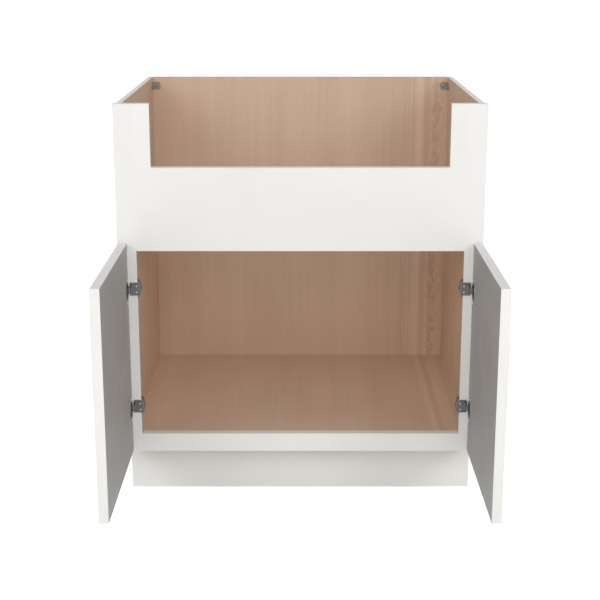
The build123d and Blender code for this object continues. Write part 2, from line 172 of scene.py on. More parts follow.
class VeneerSettings(bpy.types.PropertyGroup):
    """Clear-finished veneer plywood of the box."""
    light: colour("Light wood", "the pale early wood", (0.782, 0.587, 0.432))
    dark: colour("Dark wood", "the darker late wood", (0.513, 0.349, 0.248))
    pore: colour("Pores", "the open pores", (0.30, 0.185, 0.115))
    glue: colour("Cross plies", "the cross plies on a cut edge", (0.40, 0.26, 0.165))
    roughness: factor("Roughness", "Roughness of the clear finish", 0.5)
    pore_strength: factor("Pore strength", "How much of the pores' colour shows", 0.35)
    streak: factor("Streaks", "Strength of the streaks on the floor, back and rails", 0.26)
    side_streak: factor("Side streaks", "Strength of the streaks on the side panels", 0.14)
    joint: length("Leaf joint", "From the middle to the joint between two leaves", 0.16)
    ply: length("Ply", "Thickness of one ply on a cut edge", 0.0017)


class SteelSettings(bpy.types.PropertyGroup):
    """Nickel-plated hinges, zinc-plated brackets and screws."""
    nickel: colour("Nickel", "the hinges' nickel plating", (0.175, 0.175, 0.175))
    # painted light: the cups' nickel is a lighter copy of the plates' nickel, so that they look
    # lit
    cup: colour("Cup nickel", "the hinge cups' plating, made lighter than the plates' as painted light", (0.38, 0.38, 0.38))
    zinc: colour("Zinc", "the corner brackets' zinc plating", (0.300, 0.262, 0.238))
    screw: colour("Screw steel", "the screws", (0.50, 0.50, 0.49))
    roughness: factor("Roughness", "Roughness of the plated steel", 0.36)


class FastenerSettings(bpy.types.PropertyGroup):
    """Sizes of the screws, rivets and cams, and of the steel that they hold."""
    screw_head: length("Screw head", "Radius of a screw's head", 0.0034)
    screw_dome: length("Screw dome", "Height of a screw's head", 0.0014)
    screw_shank: length("Shank", "Radius of a screw's shank", 0.0018)
    screw_length: length("Screw length", "Length of a hinge screw's shank", 0.014)
    bracket_screw: length("Bracket screw", "Length of a bracket screw's shank", 0.009)
    recess: length("Recess", "Length of a bar of the cross recess", 0.0038)
    recess_bar: length("Recess bar", "Width of a bar of the cross recess", 0.0009)
    recess_depth: length("Recess depth", "Depth of the cross recess", 0.0008)
    rivet_head: length("Rivet head", "Radius of a rivet's dome", 0.0017)
    rivet_dome: length("Rivet dome", "Height of a rivet's dome", 0.0005)
    rivet_shank: length("Rivet shank", "Radius of a rivet's shank", 0.0016)
    rivet_length: length("Rivet length", "Length of a rivet's shank", 0.0026)
    cam_head: length("Cam head", "Radius of the depth cam's head", 0.0034)
    cam_dome: length("Cam dome", "Height of the depth cam's head", 0.0012)
    cam_length: length("Cam length", "Length of the depth cam's shank", 0.006)
    cam_recess: length("Cam recess", "Length of a bar of the cam's recess", 0.0044)
    cam_bar: length("Cam recess bar", "Width of a bar of the cam's recess", 0.0010)
    cam_depth: length("Cam recess depth", "Depth of the cam's recess", 0.0006)
    cup_spacing: length("Cup screw spacing", "Between the two screws of a hinge cup", 0.048)
    plate_spacing: length("Plate screw spacing", "Between the two screws of a hinge plate", 0.025)
    rivet_spacing: length("Rivet spacing", "Between the two rivets of a hinge arm", 0.013)
    rivet_inset: length("Rivet inset", "Stile's inner edge to the rivets", 0.0020)
    plate_wall: length("Plate thickness", "Thickness of a hinge plate's steel", 0.0012)
    arm_wall: length("Arm thickness", "Thickness of a hinge arm's steel", 0.0015)
    bracket_wall: length("Bracket thickness", "Thickness of a corner bracket's steel", 0.0016)


class StudioSettings(bpy.types.PropertyGroup):
    """Camera, floor and light."""
    distance: length("Camera distance", "Camera to the front of the face frame", 2.62795)
    height: length("Camera height", "Camera above the floor", 1.15454)
    pitch: bpy.props.FloatProperty(
        name="Pitch", description="How far the camera looks down", default=math.radians(14.93),
        subtype="ANGLE", unit="ROTATION")
    lens: bpy.props.FloatProperty(
        name="Lens", description="Focal length on a 36 mm sensor", default=77.68, unit="CAMERA")
    shift: bpy.props.FloatProperty(
        name="Shift", description="Sideways shift of the picture", default=-0.00047)
    ambient: factor("Ambient", "Strength of the even light all round", 0.458, 4.0)
    front: power("Front light", "Power of the large low light in front", 27.7)
    front_high: power("High front light", "Power of the large high light in front", 26.1)
    key: power("Key lights", "Power of each of the two lights at the front corners", 34.8)
    floor: colour("Floor", "the studio floor", (0.90, 0.90, 0.90))
    floor_lift: factor("Floor lift", "White that the floor adds to what is seen of it near the "
                       "cabinet, so that only its shadow stays grey", 0.46)


# ---- node helpers ----
NUMBER = "NodeSocketFloat"
SOCKETS = {                # the kinds of the groups' sockets that don't take a number
    "Position": "NodeSocketVector", "Low": "NodeSocketVector", "High": "NodeSocketVector",
    "Places": "NodeSocketGeometry", "Pieces": "NodeSocketGeometry",
    "Finish": "NodeSocketMaterial",
}


def wire(tree, target, source):
    """Connects a socket, or sets it where the source is a plain value."""
    if isinstance(source, bpy.types.NodeSocket):
        tree.links.new(source, target)
    else:
        target.default_value = source


def add_node(tree, kind, inputs=None, **settings):
    """A new node with its settings made and its inputs wired or set."""
    made = tree.nodes.new(kind)
    for name, value in settings.items():
        setattr(made, name, value)
    for key, value in (inputs or {}).items():
        wire(tree, made.inputs[key], value)
    return made


def result(tree, kind, inputs=None, **settings):
    """The first output of a new node."""
    return add_node(tree, kind, inputs, **settings).outputs[0]


def calc(tree, operation, a, b=0.0, c=0.0):
    """The result of one sum on numbers, in a shader or a geometry tree."""
    return result(tree, "ShaderNodeMath", {0: a, 1: b, 2: c}, operation=operation)


def times(tree, a, b):
    return calc(tree, "MULTIPLY", a, b)


def stir(tree, value, amount, base):
    """Adds a noise about its middle value, times an amount, to a base."""
    return calc(tree, "MULTIPLY_ADD", calc(tree, "SUBTRACT", value, 0.5), amount, base)


def either(tree, a, b):
    return calc(tree, "MAXIMUM", a, b)


def middle_of_three(tree, x, y, z):
    """The number that is neither the smallest nor the largest."""
    small = calc(tree, "MINIMUM", x, y)
    large = calc(tree, "MAXIMUM", x, y)
    return calc(tree, "MAXIMUM", small, calc(tree, "MINIMUM", large, z))


def split(tree, vector):
    """A vector's X, Y and Z."""
    return tuple(add_node(tree, "ShaderNodeSeparateXYZ", {0: vector}).outputs)


def combine(tree, x=0.0, y=0.0, z=0.0):
    return result(tree, "ShaderNodeCombineXYZ", {0: x, 1: y, 2: z})


def vector_calc(tree, operation, a, b):
    return result(tree, "ShaderNodeVectorMath", {0: a, 1: b}, operation=operation)


def scaled(tree, vector, amount):
    """A vector or colour times a number."""
    return result(tree, "ShaderNodeVectorMath", {0: vector, "Scale": amount}, operation="SCALE")


def ramp(tree, value, low, high, to_low=0.0, to_high=1.0, smooth=True):
    """Takes a value from one range to another."""
    return result(tree, "ShaderNodeMapRange",
                  {"Value": value, "From Min": low, "From Max": high,
                   "To Min": to_low, "To Max": to_high},
                  interpolation_type="SMOOTHSTEP" if smooth else "LINEAR")


def spread(tree, value, to_low, to_high):
    """Takes a noise evenly to a range."""
    return ramp(tree, value, *NOISE_SPAN, to_low, to_high, smooth=False)


def blend_numbers(tree, amount, first, second):
    """The first number where the amount is 0, and the second where it is 1."""
    return result(tree, "ShaderNodeMix", {0: amount, 2: first, 3: second}, data_type="FLOAT")


def blend_colours(tree, amount, first, second):
    """The first colour where the amount is 0, and the second where it is 1."""
    made = add_node(tree, "ShaderNodeMix", {0: amount, 6: as_rgba(first), 7: as_rgba(second)},
                    data_type="RGBA")
    return made.outputs[2]


def as_rgba(value):
    if isinstance(value, bpy.types.NodeSocket):
        return value
    return (*value, 1.0)


def noise(tree, place, scales, detail=2.0, roughness=0.5):
    """Noise at three coordinates, with one scale for each of them or one for all."""
    if not isinstance(scales, tuple):
        scales = (scales,) * 3
    parts = [times(tree, part, scale) for part, scale in zip(place, scales)]
    return result(tree, "ShaderNodeTexNoise",
                  {"Vector": combine(tree, *parts), "Scale": 1.0, "Detail": detail,
                   "Roughness": roughness})


def new_group(name, inputs, outputs, kind="ShaderNodeTree"):
    """A new node group with named sockets, and the sockets to read and to fill inside it."""
    group = bpy.data.node_groups.new(name, kind)
    for direction, labels in (("INPUT", inputs), ("OUTPUT", outputs)):
        for label in labels:
            group.interface.new_socket(name=label, in_out=direction,
                                       socket_type=SOCKETS.get(label, NUMBER))
    entry = group.nodes.new("NodeGroupInput")
    leave = group.nodes.new("NodeGroupOutput")
    return group, entry.outputs, leave.inputs


# ---- shared surface effects: each is built once and placed in every material that uses it ----
@cache
def edge_wear_group():
    """Mask of the strip along a box-shaped piece's edges, broken up by noise."""
    group, given, out = new_group("Edge wear", ("Position", "Low", "High", "Width"), ("Mask",))
    above = vector_calc(group, "SUBTRACT", given["Position"], given["Low"])
    below = vector_calc(group, "SUBTRACT", given["High"], given["Position"])
    from_edge = middle_of_three(group, *split(group, vector_calc(group, "MINIMUM", above, below)))
    place = split(group, given["Position"])
    patchy = noise(group, place, 38, 3.0, 0.6)
    fine = noise(group, place, 420)
    reach = times(group, given["Width"], ramp(group, patchy, 0.38, 0.68))
    reach = times(group, reach, calc(group, "ADD", fine, 0.5))
    close = calc(group, "DIVIDE", from_edge, calc(group, "ADD", reach, TINY))
    wire(group, out["Mask"], ramp(group, close, 0.4, 1.0, 1.0, 0.0))
    return group


@cache
def paint_skin_group():
    """Ripple of the sprayed coat and the grain that shows faintly through it."""
    group, given, out = new_group(
        "Paint skin", ("Across", "Along", "Through"), ("Tone", "Gloss", "Height"))
    place = given["Across"], given["Along"], given["Through"]
    peel = noise(group, place, 900)
    grain = noise(group, place, (620, 14, 30), 3.0, 0.55)
    cloud = noise(group, place, 5, 3.0, 0.55)
    smear = noise(group, place, (22, 9, 22), 4.0, 0.6)
    wire(group, out["Tone"], calc(group, "MULTIPLY_ADD", cloud, 0.7, times(group, grain, 0.3)))
    wire(group, out["Gloss"], smear)
    wire(group, out["Height"], calc(group, "MULTIPLY_ADD", grain, 0.7, peel))
    return group


@cache
def veneer_group():
    """Quiet straight-grained veneer: bands, streaks, pores and the joint between its leaves."""
    group, given, out = new_group(
        "Veneer grain", ("Across", "Along", "Seed", "Joint", "Streak"),
        ("Tone", "Pores", "Height"))
    across, along, seed = given["Across"], given["Along"], given["Seed"]
    sway = noise(group, (across, along, seed), (2.0, 2.4, 1.0))
    across = stir(group, sway, 0.010, across)
    second_leaf = calc(group, "GREATER_THAN", across, given["Joint"])
    one_tree = across, along, seed
    leaf = calc(group, "MULTIPLY_ADD", second_leaf, 0.37, across), along, seed
    broad = noise(group, leaf, (17, 0.8, 1))
    cloud = noise(group, one_tree, (5, 4, 1), 3.0)
    streak = noise(group, leaf, (95, 2.2, 3), 3.0, 0.55)
    thread = noise(group, leaf, (620, 9, 5), 2.0, 0.6)
    pores = noise(group, leaf, (1500, 42, 7))
    gate = ramp(group, noise(group, one_tree, (9, 3.5, 9)), 0.42, 0.66)
    line = ramp(group, noise(group, leaf, (240, 3.2, 2)), 0.60, 0.74)
    tone = 0.5
    for part, weight in ((broad, 0.34), (cloud, 0.30), (streak, given["Streak"]), (thread, 0.16)):
        tone = stir(group, part, weight, tone)
    tone = calc(group, "MULTIPLY_ADD", times(group, line, gate), -0.16, tone)
    tone = calc(group, "MULTIPLY_ADD", second_leaf, -0.07, tone)
    dashes = ramp(group, pores, 0.62, 0.74)
    wire(group, out["Tone"], tone)
    wire(group, out["Pores"], dashes)
    wire(group, out["Height"], calc(group, "MULTIPLY_ADD", dashes, -0.8, thread))
    return group


def band_lift(tree, place, bands):
    """How much lighter or darker a set of straight bands makes a place across the grain."""
    lift = 0.0
    for centre, half_width, strength in bands:
        away = calc(tree, "DIVIDE", calc(tree, "SUBTRACT", place, centre), half_width)
        band = ramp(tree, calc(tree, "ABSOLUTE", away), 0.45, 1.0, strength, 0.0)
        lift = calc(tree, "ADD", band, lift)
    return lift


@cache
def figure_group():
    """Figure of the veneer near one edge of its leaf: bands, some of them with ragged edges."""
    group, given, out = new_group("Edge figure", ("Across", "Along", "Fine"), ("Lift",))
    across, along = given["Across"], given["Along"]
    drift = noise(group, (0.3, along, 0.7), (1, 3.1, 1))
    across = stir(group, drift, 0.008, across)
    threads = noise(group, (across, along, 0.2), (420, 5.0, 1), 2.0, 0.6)
    threads = times(group, calc(group, "SUBTRACT", threads, 0.5), 0.30)
    threads = times(group, threads, ramp(group, across, 0.19, 0.25))
    fine = calc(group, "ADD", band_lift(group, across, FINE_BANDS), threads)
    bite = noise(group, (across, along, 0.9), (42, 58, 1), 3.0, 0.55)
    ragged_at = stir(group, bite, 0.04, across)
    patches = noise(group, (across, along, 0.4), (70, 62, 1), 3.0, 0.6)
    patches = ramp(group, patches, 0.38, 0.58, 0.25, 1.0)
    ragged = times(group, band_lift(group, ragged_at, RAGGED_BANDS), patches)
    fine = calc(group, "ADD", fine, ragged)
    plain = band_lift(group, across, PLAIN_BANDS)
    bold = calc(group, "ADD", band_lift(group, across, BOLD_BANDS), plain)
    fine = calc(group, "SUBTRACT", fine, plain)
    wire(group, out["Lift"], calc(group, "MULTIPLY_ADD", fine, given["Fine"], bold))
    return group


@cache
def plies_group():
    """Alternating long and cross plies seen on a panel's cut edge."""
    group, given, out = new_group(
        "Plies", ("Position", "Depth", "Ply"), ("Cross", "Tone", "Height"))
    place = split(group, given["Position"])
    depth = stir(group, noise(group, place, 9), 0.0005, given["Depth"])
    phase = calc(group, "DIVIDE", depth, times(group, given["Ply"], 2.0))
    cross = ramp(group, calc(group, "PINGPONG", phase, 0.5), 0.21, 0.29)
    grit = noise(group, place, 1300, 2.0, 0.6)
    wire(group, out["Cross"], cross)
    wire(group, out["Tone"], grit)
    wire(group, out["Height"], calc(group, "MULTIPLY_ADD", cross, -0.5, grit))
    return group


@cache
def plating_group():
    """Drawing marks and dull patches of plated steel."""
    group, given, out = new_group("Plating", ("Position",), ("Tone", "Gloss", "Height"))
    place = split(group, given["Position"])
    drawn = noise(group, place, (2600, 2600, 160), 2.0, 0.6)
    patch = noise(group, place, 260, 3.0, 0.6)
    wire(group, out["Tone"], patch)
    wire(group, out["Gloss"], calc(group, "MULTIPLY_ADD", drawn, 0.4, times(group, patch, 0.6)))
    wire(group, out["Height"], drawn)
    return group


# ---- materials ----
class Finish:
    """One material under way: its tree, its shader, and the place and facing of its surface."""

    def __init__(self, name):
        self.material = bpy.data.materials.new(name)
        self.material.use_nodes = True
        self.tree = self.material.node_tree
        self.shader = self.tree.nodes["Principled BSDF"]
        coordinates = self.tree.nodes.new("ShaderNodeTexCoord")
        self.position = coordinates.outputs["Object"]
        self.axes = dict(zip("XYZ", split(self.tree, self.position)))
        self.facing = dict(zip("XYZ", split(self.tree, coordinates.outputs["Normal"])))

    def set(self, socket, value):
        wire(self.tree, self.shader.inputs[socket], value)

    def lay(self, layers, relief):
        """Takes a colour, a roughness and a height, whose full swing is the relief."""
        coat, gloss, height = layers
        self.set("Base Color", coat)
        self.set("Roughness", gloss)
        self.set("Normal", result(self.tree, "ShaderNodeBump",
                                  {"Height": height, "Strength": 1.0, "Distance": relief}))

    def group(self, maker, **inputs):
        """Places a shared effect and gives its outputs."""
        return add_node(self.tree, "ShaderNodeGroup", inputs, node_tree=maker()).outputs


def dress(nodes, material):
    """Gives CAD nodes their finish."""
    for name in nodes:
        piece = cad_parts[name]
        piece.data.materials.clear()
        piece.data.materials.append(material)


def mix_layers(tree, mask, under, over):
    """Lays one finish's colour, roughness and height over another's."""
    return (blend_colours(tree, mask, under[0], over[0]),
            blend_numbers(tree, mask, under[1], over[1]),
            blend_numbers(tree, mask, under[2], over[2]))


def on_face(finish, axis, value):
    """1 where the surface lies in the plane axis = value."""
    gap = calc(finish.tree, "ABSOLUTE", calc(finish.tree, "SUBTRACT", finish.axes[axis], value))
    return calc(finish.tree, "LESS_THAN", gap, FACE_EPSILON)


def faces_middle(finish):
    """1 where the surface looks sideways towards the cabinet's middle plane."""
    tree = finish.tree
    side = calc(tree, "SIGN", finish.axes["X"])
    return ramp(tree, times(tree, finish.facing["X"], side), -0.9, -0.5, 1.0, 0.0)


def eased_edge(finish):
    """1 on the rounding between two faces, where the surface looks between two axes."""
    tree = finish.tree
    sizes = [calc(tree, "ABSOLUTE", finish.facing[axis]) for axis in "XYZ"]
    return ramp(tree, middle_of_three(tree, *sizes), 0.25, 0.6)


def paint_layers(finish, limits, along, settings):
    """Colour, roughness and height of the paint inside a box, with its grain along an axis."""
    low, high = limits
    across, through = (axis for axis in "XYZ" if axis != along)
    skin = finish.group(paint_skin_group, Across=finish.axes[across], Along=finish.axes[along],
                        Through=finish.axes[through])
    strip = finish.group(edge_wear_group, Position=finish.position, Low=low, High=high,
                         Width=settings.edge_width)
    tree = finish.tree
    coat = scaled(tree, tuple(settings.coat), spread(tree, skin["Tone"], *PAINT_TONES))
    thin = either(tree, times(tree, strip["Mask"], settings.wear),
                  times(tree, eased_edge(finish), settings.rubbing))
    gloss = spread(tree, skin["Gloss"], *(settings.roughness + step for step in PAINT_GLOSS))
    return blend_colours(tree, thin, coat, settings.worn), gloss, skin["Height"]


def painted_material(node, limits, along, settings):
    """Paint over a whole piece, with painted shade on the sawn edges that look at the cabinet's
    middle.
    """
    finish = Finish(f"painted_{node}")
    coat, gloss, height = paint_layers(finish, limits, along, settings)
    # painted shade: edges that face the cabinet's middle are blended towards a darker brownish
    # colour
    coat = blend_colours(finish.tree, faces_middle(finish), coat, settings.inner_edge_shade)
    finish.lay((coat, gloss, height), settings.orange_peel)
    return finish.material


def veneer_layers(finish, across, along, seed, streak, settings, figure=None):
    """Colour, roughness and height of the clear-finished veneer."""
    grain = finish.group(veneer_group, Across=finish.axes[across], Along=finish.axes[along],
                         Seed=seed, Joint=settings.joint, Streak=streak)
    tree = finish.tree
    tone = grain["Tone"]
    if figure is not None:
        bands = finish.group(figure_group, Across=finish.axes[across], Along=finish.axes[along],
                             Fine=figure)
        tone = calc(tree, "ADD", tone, bands["Lift"])
    shade = ramp(tree, tone, 0.0, 1.0, smooth=False)
    wood = blend_colours(tree, shade, settings.dark, settings.light)
    pores = times(tree, grain["Pores"], settings.pore_strength)
    wood = blend_colours(tree, pores, wood, settings.pore)
    gloss = ramp(tree, tone, 0.2, 0.8, *(settings.roughness + step for step in VENEER_GLOSS),
                 smooth=False)
    return wood, gloss, grain["Height"]


def ply_edge_layers(finish, node, thickness_axis, settings):
    """The cut edge of a panel: plies through its thickness."""
    tree = finish.tree
    first_face = corners(node)[0]["XYZ".index(thickness_axis)]
    depth = calc(tree, "SUBTRACT", finish.axes[thickness_axis], first_face)
    edge = finish.group(plies_group, Position=finish.position, Depth=depth, Ply=settings.ply)
    wood = blend_colours(tree, edge["Cross"], settings.light, settings.glue)
    wood = blend_colours(tree, ramp(tree, edge["Tone"], 0.55, 0.8, 0.0, 0.4), wood, settings.pore)
    rough = ramp(tree, edge["Tone"], 0.2, 0.8, 0.62, 0.78, smooth=False)
    return wood, rough, edge["Height"]


def veneered_material(node, across, along, thickness_axis, seed, settings, figure=None):
    """Veneered plywood panel: veneer on its broad faces and plies on its cut edges."""
    finish = Finish(f"veneered_{node}")
    face = veneer_layers(finish, across, along, seed, settings.streak, settings, figure)
    edge = ply_edge_layers(finish, node, thickness_axis, settings)
    broad = either(finish.tree, *(on_face(finish, thickness_axis,
                                          corner["XYZ".index(thickness_axis)])
                                  for corner in corners(node)))
    finish.lay(mix_layers(finish.tree, broad, edge, face), WOOD_RELIEF)
    return finish.material


def plated_material(name, base, settings):
    """Plated steel, with its drawing marks and dull patches."""
    finish = Finish(name)
    marks = finish.group(plating_group, Position=finish.position)
    tree = finish.tree
    plating = scaled(tree, tuple(base), spread(tree, marks["Tone"], *PLATE_TONES))
    gloss = spread(tree, marks["Gloss"], *(settings.roughness + step for step in PLATE_GLOSS))
    finish.lay((plating, gloss, marks["Height"]), METAL_RELIEF)
    finish.set("Metallic", 1.0)
    return finish.material


# ---- operators: finishes of the CAD nodes ----
class CABINET_OT_paint_frame(bpy.types.Operator):
    """Sprays the face frame and the toe-kick face"""
    bl_idname = "cabinet.paint_frame"
    bl_label = "Face frame and toe kick"

    def execute(self, context):
        settings = context.scene.cabinet_paint
        whole_frame = corners("stile_left")[0], corners("stile_right")[1]
        for node, along in (("stile_right", "Z"), ("stile_left", "Z"), ("apron_board", "X"),
                            ("bottom_rail", "X")):
            dress([node], painted_material(node, whole_frame, along, settings))
        toe = "toe_kick_face"
        dress([toe], painted_material(toe, corners(toe), "X", settings))
        return {"FINISHED"}


class CABINET_OT_paint_doors(bpy.types.Operator):
    """Sprays the doors' fronts and edges, and gives their inner faces a grey as painted shade"""
    bl_idname = "cabinet.paint_doors"
    bl_label = "Doors"

    def execute(self, context):
        settings = context.scene.cabinet_paint
        for side in SIDES:
            node = f"door_{side}"
            finish = Finish(f"painted_{node}")
            coat = paint_layers(finish, corners(node), "Z", settings)
            back = self.back_shade_layers(finish, settings)
            # painted shade: the face that looks at the middle gets the grey instead of the paint
            inside = on_face(finish, "X", inner_x(node, side))
            finish.lay(mix_layers(finish.tree, inside, coat, back), settings.orange_peel)
            dress([node], finish.material)
        return {"FINISHED"}

    def back_shade_layers(self, finish, settings):
        """Colour, roughness and height of a door's inner face, grey as painted shade."""
        tree = finish.tree
        speck = noise(tree, finish.axes.values(), 1400, 2.0, 0.6)
        cloud = noise(tree, finish.axes.values(), 7, 3.0, 0.6)
        shade = calc(tree, "MULTIPLY_ADD", speck, 0.5, times(tree, cloud, 0.5))
        dark, pale = ([part * tone for part in settings.door_back_shade] for tone in DOOR_BACK_SHADE_TONES)
        shaded_back = blend_colours(tree, ramp(tree, shade, *NOISE_SPAN), dark, pale)
        return shaded_back, DOOR_BACK_ROUGHNESS, speck


class CABINET_OT_veneer_sides(bpy.types.Operator):
    """Gives the side panels their veneered inside, painted outside and top, and cut edges"""
    bl_idname = "cabinet.veneer_sides"
    bl_label = "Side panels"

    def execute(self, context):
        wood = context.scene.cabinet_veneer
        paint = context.scene.cabinet_paint
        for seed, side in enumerate(SIDES, start=3):
            node = f"side_panel_{side}"
            finish = Finish(f"veneered_{node}")
            tree = finish.tree
            low, high = corners(node)
            outer = high.x if side == "right" else low.x
            face = veneer_layers(finish, "Y", "Z", float(seed), wood.side_streak, wood)
            edge = ply_edge_layers(finish, node, "X", wood)
            coat = paint_layers(finish, (low, high), "Z", paint)
            inside = on_face(finish, "X", inner_x(node, side))
            painted = either(tree, on_face(finish, "X", outer), on_face(finish, "Z", high.z))
            layers = mix_layers(tree, inside, edge, face)
            finish.lay(mix_layers(tree, painted, layers, coat), WOOD_RELIEF)
            dress([node], finish.material)
        return {"FINISHED"}


class CABINET_OT_veneer_panels(bpy.types.Operator):
    """Veneers the floor, back, wall rails and toe board"""
    bl_idname = "cabinet.veneer_panels"
    bl_label = "Floor, back and rails"

    def execute(self, context):
        settings = context.scene.cabinet_veneer
        for node, across, along, thickness, seed, figure in (
                ("back_panel", "X", "Z", "Y", 1.0, 1.0), ("floor_panel", "X", "Y", "Z", 1.0, 0.15),
                ("wall_rail_top", "Z", "X", "Y", 5.0, None),
                ("wall_rail_bottom", "Z", "X", "Y", 6.0, None),
                ("toe_board", "Z", "X", "Y", 7.0, None)):
            material = veneered_material(node, across, along, thickness, seed, settings, figure)
            dress([node], material)
        return {"FINISHED"}


class CABINET_OT_plate_hinges(bpy.types.Operator):
    """Plates the hinges and the corner brackets"""
    bl_idname = "cabinet.plate_hinges"
    bl_label = "Hinges and brackets"

    def execute(self, context):
        settings = context.scene.cabinet_steel
        nickel = plated_material("nickel_plate", settings.nickel, settings)
        parts = ("hinge_plate", "hinge_arm", "hinge_pin", "closing_spring")
        dress([f"{part}_{hinge}" for part in parts for hinge in HINGES], nickel)
        # painted light: the cups get a lighter copy of the same nickel as the plates
        bright = plated_material("cup_nickel_plate", settings.cup, settings)
        dress([f"hinge_cup_{hinge}" for hinge in HINGES], bright)
        zinc = plated_material("zinc_plate", settings.zinc, settings)
        dress([f"corner_bracket_{side}" for side in SIDES], zinc)
        return {"FINISHED"}


# ---- geometry trees: fasteners ----
SHAPE = ("Head radius", "Head rise", "Shank radius", "Shank length")
RECESS = ("Recess length", "Recess bar", "Recess depth")


def raised(tree, geometry, height):
    """A shape moved up its own axis."""
    return result(tree, "GeometryNodeTransform",
                  {"Geometry": geometry, "Translation": combine(tree, z=height)})


def cross_bars(tree, size, bar, depth, top):
    """The two bars of a cross recess, sunk from the top of a head."""
    bars = []
    for x, y in ((size, bar), (bar, size)):
        box = combine(tree, x, y, times(tree, depth, 2.0))
        bars.append(raised(tree, result(tree, "GeometryNodeMeshCube", {"Size": box}), top))
    return bars


def joined(tree, pieces):
    made = tree.nodes.new("GeometryNodeJoinGeometry")
    for piece in reversed(pieces):
        tree.links.new(piece, made.inputs[0])
    return made.outputs[0]


def domed_head(tree, radius, rise):
    """A closed head: a ball swelled to its rim, flattened on top and flat below."""
    ball = result(tree, "GeometryNodeMeshUVSphere",
                  {"Segments": HEAD_SEGMENTS, "Rings": HEAD_RINGS, "Radius": 1.0})
    x, y, z = split(tree, result(tree, "GeometryNodeInputPosition"))
    out = calc(tree, "SQRT", calc(tree, "ADD", times(tree, x, x), times(tree, y, y)))
    swell = calc(tree, "POWER", calc(tree, "MAXIMUM", out, TINY), HEAD_BULGE)
    up = calc(tree, "POWER", calc(tree, "MAXIMUM", z, 0.0), HEAD_FLATNESS)
    moved = combine(tree, *(times(tree, times(tree, part, swell), radius) for part in (x, y)),
                    times(tree, up, rise))
    return result(tree, "GeometryNodeSetPosition", {"Geometry": ball, "Position": moved})


def shank(tree, radius, depth):
    """A round shank below the head."""
    rod = result(tree, "GeometryNodeMeshCylinder",
                 {"Vertices": SHANK_SEGMENTS, "Radius": radius, "Depth": depth}, fill_type="NGON")
    return raised(tree, rod, times(tree, depth, -0.5))


@cache
def fastener_tree(name, recessed):
    """A head on each place, turned along the place's axis, with its shank below."""
    sizes = SHAPE + RECESS if recessed else SHAPE
    tree, given, out = new_group(name, ("Places", *sizes, "Finish"), ("Pieces",),
                                 "GeometryNodeTree")
    for socket in tree.interface.items_tree:
        if socket.name in sizes:
            socket.subtype = "DISTANCE"
    head = domed_head(tree, given["Head radius"], given["Head rise"])
    if recessed:
        cut = add_node(tree, "GeometryNodeMeshBoolean", {0: head}, operation="DIFFERENCE",
                       solver="EXACT")
        for bar in cross_bars(tree, given["Recess length"], given["Recess bar"],
                              given["Recess depth"], given["Head rise"]):
            tree.links.new(bar, cut.inputs[1])
        head = cut.outputs[0]
    whole = joined(tree, [head, shank(tree, given["Shank radius"], given["Shank length"])])
    axis = result(tree, "GeometryNodeInputNamedAttribute", {"Name": "axis"},
                  data_type="FLOAT_VECTOR")
    aligned = result(tree, "FunctionNodeAlignRotationToVector", {"Vector": axis}, axis="Z")
    spin = add_node(tree, "FunctionNodeRandomValue",
                    {"Min": 0.0, "Max": math.pi / 2, "Seed": SPIN_SEED}, data_type="FLOAT")
    spins = [socket for socket in spin.outputs if socket.type == "VALUE" and socket.enabled][0]
    about = result(tree, "FunctionNodeEulerToRotation", {0: combine(tree, z=spins)})
    turned = result(tree, "FunctionNodeRotateRotation", {0: aligned, 1: about},
                    rotation_space="LOCAL")
    copies = result(tree, "GeometryNodeInstanceOnPoints",
                    {"Points": given["Places"], "Instance": whole, "Rotation": turned})
    real = result(tree, "GeometryNodeRealizeInstances", {0: copies})
    wire(tree, out["Pieces"], result(tree, "GeometryNodeSetMaterial",
                                     {"Geometry": real, "Material": given["Finish"]}))
    return tree


def new_object(name, data):
    """A new object in the scene."""
    made = bpy.data.objects.new(name, data)
    bpy.context.scene.collection.objects.link(made)
    return made


def grown(name, places, tree, values):
    """Runs a geometry tree on points with axes and keeps its result as a plain mesh."""
    mesh = bpy.data.meshes.new(name)
    mesh.from_pydata([tuple(point) for point, _ in places], [], [])
    axis = mesh.attributes.new("axis", "FLOAT_VECTOR", "POINT")
    for number, (_, direction) in enumerate(places):
        axis.data[number].vector = direction
    piece = new_object(name, mesh)
    modifier = piece.modifiers.new("growth", "NODES")
    modifier.node_group = tree
    sockets = {item.name: item.identifier for item in tree.interface.items_tree
               if item.in_out == "INPUT"}
    for label, value in values.items():
        modifier[sockets[label]] = value
    bpy.context.view_layer.update()
    evaluated = piece.evaluated_get(bpy.context.evaluated_depsgraph_get())
    solid = bpy.data.meshes.new_from_object(evaluated)
    piece.modifiers.clear()
    piece.data = solid
    bpy.data.meshes.remove(mesh)
    solid.name = name
    if not solid.polygons:
        raise RuntimeError(f"{name} came out empty")
    solid.shade_flat()
    return piece


def hang(piece, body, replaced):
    """Puts a piece on its body, in the place of CAD nodes."""
    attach(piece, body)
    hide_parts(*replaced)


def fasteners(name, places, finish, shape, recess=()):
    """Fasteners of the sizes that SHAPE and RECESS name, on places with axes."""
    tree = fastener_tree("Cross-recess screws" if recess else "Domed rivets", bool(recess))
    sizes = zip(SHAPE + RECESS, (*shape, *recess))
    return grown(name, places, tree, {**dict(sizes), "Finish": finish})


def screws(name, places, finish, settings, shank_length):
    """Cross-recess screws, which differ in their length alone."""
    return fasteners(
        name, places, finish,
        (settings.screw_head, settings.screw_dome, settings.screw_shank, shank_length),
        (settings.recess, settings.recess_bar, settings.recess_depth))


def hinge_pairs(side, part, spacing, seat, axis):
    """Places of a side's fasteners: two on each hinge, about the height of one of its parts."""
    heights = [middle(f"{part}_{side}_{level}").z for level in LEVELS]
    return [(Vector((*seat, height + step * spacing)), axis)
            for height in heights for step in PAIR]


def screw_steel(context):
    """The screws' finish, made for the first of them."""
    name = "screw_steel"
    if name in bpy.data.materials:
        return bpy.data.materials[name]
    settings = context.scene.cabinet_steel
    return plated_material(name, settings.screw, settings)


